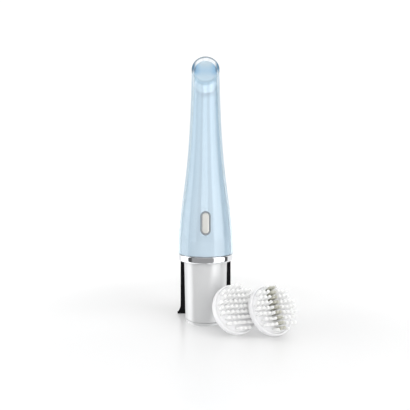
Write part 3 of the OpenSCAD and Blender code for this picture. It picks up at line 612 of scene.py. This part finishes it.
def make_ring_and_sleeve():
    """Chrome ring with rounded edges, and the satin sleeve with its rolled foot."""
    ring = slab(16 * MM, RING_HIGH.x, RING_LOW.z, RING_HIGH.z, edge=1.5 * MM, steps=10)
    piece("ring_band", lathe(ring), CHROME, "handle", ["chrome_ring"])

    thickness, edge = 1.1 * MM, 0.5 * MM
    low, high = SLEEVE_LOW.z, SLEEVE_HIGH.z
    top_r, foot_r = SLEEVE_HIGH.x, 16.5 * MM
    sleeve = [(foot_r - thickness, low + edge), *arc(foot_r - edge, low + edge, edge, -70, 0, 10),
              (top_r, high), (top_r - thickness, high)]
    piece("satin_sleeve", lathe(sleeve), SATIN_SILVER, "handle", ["base_sleeve"])


# ---- Charging stand ----


STAND_LOW, STAND_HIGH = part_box("stand_back")
FOOT_LOW, FOOT_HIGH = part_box("stand_base")
FOOT_R = FOOT_HIGH.y
DISC_R = 16.4 * MM
DISC_EDGE = 0.25 * MM
REARWARDS = (0, -1, 0)


def socket_window():
    """Cutter for the hole in front of the power inlet."""
    low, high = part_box("dc_socket")
    size = Vector((high.x - low.x + 0.2 * MM, 14 * MM, high.z - low.z + 0.2 * MM))
    window = bmesh.new()
    bmesh.ops.create_cube(window, size=1)
    bmesh.ops.scale(window, verts=window.verts, vec=size)
    bmesh.ops.translate(window, verts=window.verts, vec=(0, low.y + size.y / 2, (low.z + high.z) / 2))
    return window


def make_stand():
    """Gloss-black back with soft edges and a flared foot."""
    inner, outer, foot = 18.6 * MM, 26.3 * MM, FOOT_R - 0.3 * MM
    low, high, flare = STAND_LOW.z, STAND_HIGH.z, 6 * MM
    outline = [(inner, low), (foot, low)]
    outline += [(outer + (foot - outer) * (1 - i / 8) ** 2, low + flare * i / 8) for i in range(1, 9)]
    outline += [(outer, high), (inner, high)]
    bm = lathe(outline)
    cut(bm, (0, STAND_LOW.y, 0), REARWARDS)
    face_outwards(bm)
    round_off(bm, [e for e in sharp_edges(bm) if min(v.co.z for v in e.verts) > low + 0.2 * MM], 0.8 * MM)
    piece("stand_shell", carve(bm, [socket_window()]), GLOSS_BLACK, "charging_stand", ["stand_back"])


def make_plate_and_foot():
    """Pale disc under the sleeve, and the black foot of the back, which carry the stand."""
    low, high = FOOT_LOW.z, SLEEVE_LOW.z - 0.2 * MM
    disc = lathe(slab(0, DISC_R, low, high, DISC_EDGE))
    piece("plate_disc", disc, SATIN_SILVER, "charging_stand", ["stand_base"])
    foot = lathe(slab(DISC_R + 0.1 * MM, FOOT_R, low, high, DISC_EDGE))
    cut(foot, (0, STAND_LOW.y - 0.8 * MM, 0), REARWARDS)
    face_outwards(foot)
    piece("stand_foot", foot, GLOSS_BLACK, "charging_stand", ["stand_base"])


# ---- Brush heads ----

HEAD_R = 18 * MM
CUP_WALL = 1.3 * MM
CUP_H = 4.7 * MM
CUP_FLOOR = 1.3 * MM
PLATE_Z = (3.0 * MM, 4.6 * MM)
PLATE_R = HEAD_R - CUP_WALL - 0.15 * MM
TUFT_TIP_Z = 12.6 * MM
TUFT_PITCH = 3.5 * MM
TUFT_D = 2.2 * MM
FIELD_R = HEAD_R - CUP_WALL - 1.7 * MM
ROWS = int(FIELD_R / TUFT_PITCH)
SPLAY = math.radians(12)
ROW_SPLAY = math.radians(3)
HEAD_ROLL = math.radians(-6)
HUB_R = 4.25 * MM
SOCKET_MIDDLE = 1.35 * MM


def head_place(letter):
    """Matrix from a head's own frame (back of the cup at z = 0, +Y up along its face) to the world."""
    socket = MOUNTS[f"head_{letter}_socket"]
    out = -Vector(socket["axis"])
    origin = Vector(socket["pos_m"]) - out * SOCKET_MIDDLE
    up = (Vector((0, 0, 1)) - out * out.z).normalized()
    side = up.cross(out)
    turn = Matrix((side, up, out)).transposed().to_4x4()
    return Matrix.Translation(origin) @ turn @ Matrix.Rotation(HEAD_ROLL, 4, "Z")


def make_cup(letter, place):
    """Shallow white cup with a rounded rim, open round its hub."""
    back, rim, lip = 1.2 * MM, 0.7 * MM, 0.42 * MM
    outline = [(HUB_R, 0), *arc(HEAD_R - back, back, back, -90, 0, 6),
               *arc(HEAD_R - rim, CUP_H - rim, rim, 0, 90, 6),
               *arc(HEAD_R - CUP_WALL + lip, CUP_H - lip, lip, 90, 180, 4),
               (HEAD_R - CUP_WALL, CUP_FLOOR), (HUB_R, CUP_FLOOR)]
    bm = lathe(outline)
    bmesh.ops.transform(bm, verts=bm.verts, matrix=place)
    piece(f"cup_{letter}", bm, HEAD_WHITE, f"brush_head_{letter}", [f"head_{letter}_cup"])


def make_plate(letter, place):
    """Disc in the cup that holds the tufts."""
    low, high = PLATE_Z
    edge = 0.4 * MM
    outline = [(0, low), (PLATE_R, low), *arc(PLATE_R - edge, high - edge, edge, 0, 90, 4), (0, high)]
    bm = lathe(outline)
    bmesh.ops.transform(bm, verts=bm.verts, matrix=place)
    piece(f"tuft_disc_{letter}", bm, PLATE_WHITE, f"brush_head_{letter}", [f"head_{letter}_tuft_plate"])


def filament_bundle(width, height):
    """One tuft of fine filaments, its foot at the origin, slightly fanned towards its tips."""
    bm = bmesh.new()
    spacing = width / 5
    thick = spacing * 0.6
    fan = math.radians(2.5)
    across = range(-2, 3)
    for q, r in [(q, r) for q in across for r in across if abs(q + r) <= 2]:
        x, y = spacing * (q + r / 2), spacing * r * math.sqrt(3) / 2
        far = math.hypot(x, y) / (width / 2)
        tall = height * (1 - 0.05 * far * far)
        verts = bmesh.ops.create_cone(bm, cap_ends=True, segments=5, radius1=thick, radius2=thick * 0.75,
                                      depth=tall)["verts"]
        bmesh.ops.translate(bm, verts=verts, vec=(0, 0, tall / 2))
        hinge = Vector((-y, x, 0)) if far else "Z"
        bmesh.ops.rotate(bm, verts=verts, cent=(0, 0, 0), matrix=Matrix.Rotation(fan * far, 3, hinge))
        bmesh.ops.translate(bm, verts=verts, vec=(x * 0.8, y * 0.8, 0))
    return bm


def tuft_places(spots, splay):
    """Matrix for each tuft at (x, y) on the plate, leaning outwards with its distance."""
    for x, y in spots:
        angle = splay * math.hypot(x, y) / FIELD_R
        away = Matrix.Rotation(math.atan2(y, x), 4, "Z")
        lean = Matrix.Rotation(angle, 4, "Y")
        yield Matrix.Translation((x, y, PLATE_Z[1])) @ away @ lean @ away.inverted()


def nylon(name, place, tip, foot, glow, far=300.0):
    """Nylon filaments with painted shade that darkens them towards their feet; a faint glow stands for light
    passed on between them.
    """
    material = finish_of(name, tip, gloss=0.45, drift=far, Subsurface_Weight=0.9, Subsurface_Scale=1.5 * MM,
                         Subsurface_Radius=(1, 1, 1), Emission_Color=(1, 1, 1, 1), Emission_Strength=glow)
    tree, target, base = base_colour(material)
    origin, turn, _ = place.decompose()
    height = coordinates(tree, origin, turn.to_euler())[2]
    # Painted shade: the tufts shade one another towards the plate.
    foot_shade = ramp_between(tree, height, TUFT_TIP_Z - 1.2 * MM, PLATE_Z[1])
    link(tree, blend_colour(tree, foot_shade, base, foot), target)
    return material


def make_tufts(name, letter, place, spots, splay, material, node):
    """Sets a filament bundle at each spot of a head's plate."""
    single = filament_bundle(TUFT_D, TUFT_TIP_Z - PLATE_Z[1] - 0.5 * MM)
    mesh = bpy.data.meshes.new("tuft")
    single.to_mesh(mesh)
    single.free()
    bm = bmesh.new()
    for spot in tuft_places(spots, splay):
        seen = len(bm.verts)
        bm.from_mesh(mesh)
        bm.verts.ensure_lookup_table()
        bmesh.ops.transform(bm, verts=bm.verts[seen:], matrix=spot)
    bpy.data.meshes.remove(mesh)
    bmesh.ops.transform(bm, verts=bm.verts, matrix=place)
    piece(name, bm, material, f"brush_head_{letter}", [node])


def grid(skip_middle=False):
    """Grid of tuft feet inside the field, with the middle column left free or not."""
    spots = []
    for i in range(-ROWS, ROWS + 1):
        for j in range(-ROWS, ROWS + 1):
            if math.hypot(i, j) * TUFT_PITCH > FIELD_R or (skip_middle and i == 0):
                continue
            aside = math.copysign(0.6 * MM, i) if skip_middle else 0
            spots.append((i * TUFT_PITCH + aside, j * TUFT_PITCH))
    return spots


def make_heads():
    """A head of plain white tufts, and one with an olive double row through its middle."""
    for letter in "ab":
        place = head_place(letter)
        make_cup(letter, place)
        make_plate(letter, place)
        spots = grid(skip_middle=letter == "b")
        # Each nylon's second colour is painted shade at the tufts' feet, and the white's glow is painted
        # light.
        white = nylon(f"tuft_white_nylon_{letter}", place, (0.99, 0.99, 0.98), (0.86, 0.86, 0.86), 0.07)
        make_tufts(f"tufts_{letter}", letter, place, spots, SPLAY, white, f"head_{letter}_tufts")
    row = [(side * TUFT_D * 0.54, j * TUFT_PITCH) for side in (-1, 1) for j in range(-ROWS, ROWS + 1)]
    # The olive row is painted much darker towards its feet, as shade.
    olive = nylon("tuft_olive_nylon", head_place("b"), (0.66, 0.65, 0.55), (0.20, 0.20, 0.15), 0.0,
                  far=400.0)
    make_tufts("centre_tufts", "b", head_place("b"), row, ROW_SPLAY, olive, "head_b_centre_row")


# ---- Setting: floor, light and camera ----


def make_floor():
    """Plain pale floor."""
    bm = bmesh.new()
    bmesh.ops.create_grid(bm, x_segments=1, y_segments=1, size=3)
    mesh = bpy.data.meshes.new("floor")
    bm.to_mesh(mesh)
    bm.free()
    floor = bpy.data.objects.new("floor", mesh)
    mesh.materials.append(FLOOR_WHITE)
    bpy.context.scene.collection.objects.link(floor)
    floor.visible_glossy = False


def softbox(name, place, power):
    """Square area light that faces the handle and leaves no reflection of its own."""
    data = bpy.data.lights.new(name, "AREA")
    data.shape = "RECTANGLE"
    data.size = data.size_y = 0.8
    data.energy = power
    lamp = bpy.data.objects.new(name, data)
    lamp.location = place
    lamp.rotation_euler = (Vector((0, 0, 0.12)) - Vector(place)).to_track_quat("-Z", "Y").to_euler()
    lamp.visible_glossy = False
    bpy.context.scene.collection.objects.link(lamp)


# The studio round the object: azimuth in degrees from the front towards the right, and how bright it is there
STUDIO_BANDS = [
    (-180, 1.0), (-122, 1.0), (-118, 2.0), (-80, 2.0), (-75, 0.10), (-60, 0.10), (-56, 0.36), (33, 0.36),
    (38, 2.2), (82, 2.2), (87, 0.10), (101, 0.10), (106, 1.0), (180, 1.0),
]
STUDIO_PEAK = 2.5
OVERHEAD = 1.0
BACKDROP = 1.06


def make_studio():
    """World light: soft boxes and dark gaps as upright bands, and an even white ceiling."""
    world = bpy.data.worlds.new("studio")
    bpy.context.scene.world = world
    world.use_nodes = True
    tree = world.node_tree
    sky = tree.nodes["Background"]
    place = add_node(tree, "ShaderNodeTexCoord")
    split = add_node(tree, "ShaderNodeSeparateXYZ")
    link(tree, place.outputs["Generated"], split.inputs["Vector"])
    front = add_node(tree, "ShaderNodeMath", operation="MULTIPLY", in1=-1.0)
    link(tree, split.outputs["Y"], front.inputs[0])
    turn = add_node(tree, "ShaderNodeMath", operation="ARCTAN2")
    link(tree, split.outputs["X"], turn.inputs[0])
    link(tree, front.outputs["Value"], turn.inputs[1])
    around = add_node(tree, "ShaderNodeMapRange")
    around.inputs["From Min"].default_value = -math.pi
    around.inputs["From Max"].default_value = math.pi
    link(tree, turn.outputs["Value"], around.inputs["Value"])
    bands = add_node(tree, "ShaderNodeValToRGB")
    stops = bands.color_ramp.elements
    for i, (degrees, level) in enumerate(STUDIO_BANDS):
        place_on_ramp = (degrees + 180) / 360
        stop = stops[i] if i < 2 else stops.new(place_on_ramp)
        stop.position = place_on_ramp
        stop.color = (*(level / STUDIO_PEAK,) * 3, 1)
    link(tree, around.outputs["Result"], bands.inputs["Fac"])
    strength = add_node(tree, "ShaderNodeVectorMath", operation="SCALE")
    strength.inputs["Scale"].default_value = STUDIO_PEAK
    link(tree, bands.outputs["Color"], strength.inputs[0])
    high = ramp_between(tree, split.outputs["Z"], 0.72, 0.85)
    lit = blend_colour(tree, high, strength.outputs["Vector"], (OVERHEAD,) * 3)
    seen = add_node(tree, "ShaderNodeLightPath")
    link(tree, blend_colour(tree, seen.outputs["Is Camera Ray"], lit, (BACKDROP,) * 3), sky.inputs["Color"])


def make_light():
    make_studio()
    softbox("front_fill", (-0.1, -1.2, 0.5), 6.0)
    softbox("left_fill", (-1.1, -0.7, 0.4), 3.0)
    softbox("right_fill", (0.7, -0.8, 0.5), 1.0)


VIEW_DISTANCE = 287 * MM
VIEW_HEIGHT = 97.7 * MM
VIEW_LENS = 30.73
VIEW_WIDTH = 410
VIEW_SHIFT = (-0.6 / VIEW_WIDTH, -5 / VIEW_WIDTH)


def make_camera():
    data = bpy.data.cameras.new("camera")
    data.lens = VIEW_LENS
    data.sensor_width = 36
    data.shift_x, data.shift_y = VIEW_SHIFT
    data.clip_start = 0.01
    camera = bpy.data.objects.new("camera", data)
    camera.location = (0, -VIEW_DISTANCE, VIEW_HEIGHT)
    camera.rotation_euler = (math.pi / 2, 0, 0)
    bpy.context.scene.collection.objects.link(camera)
    bpy.context.scene.camera = camera


finish_cad_nodes()
make_shells()
paint_tip_skin_shade()
paint_tip_core_light()
make_tip()
make_button()
make_ring_and_sleeve()
make_stand()
make_plate_and_foot()
make_heads()
make_floor()
make_light()
make_camera()
bpy.context.scene.view_settings.view_transform = "Standard"
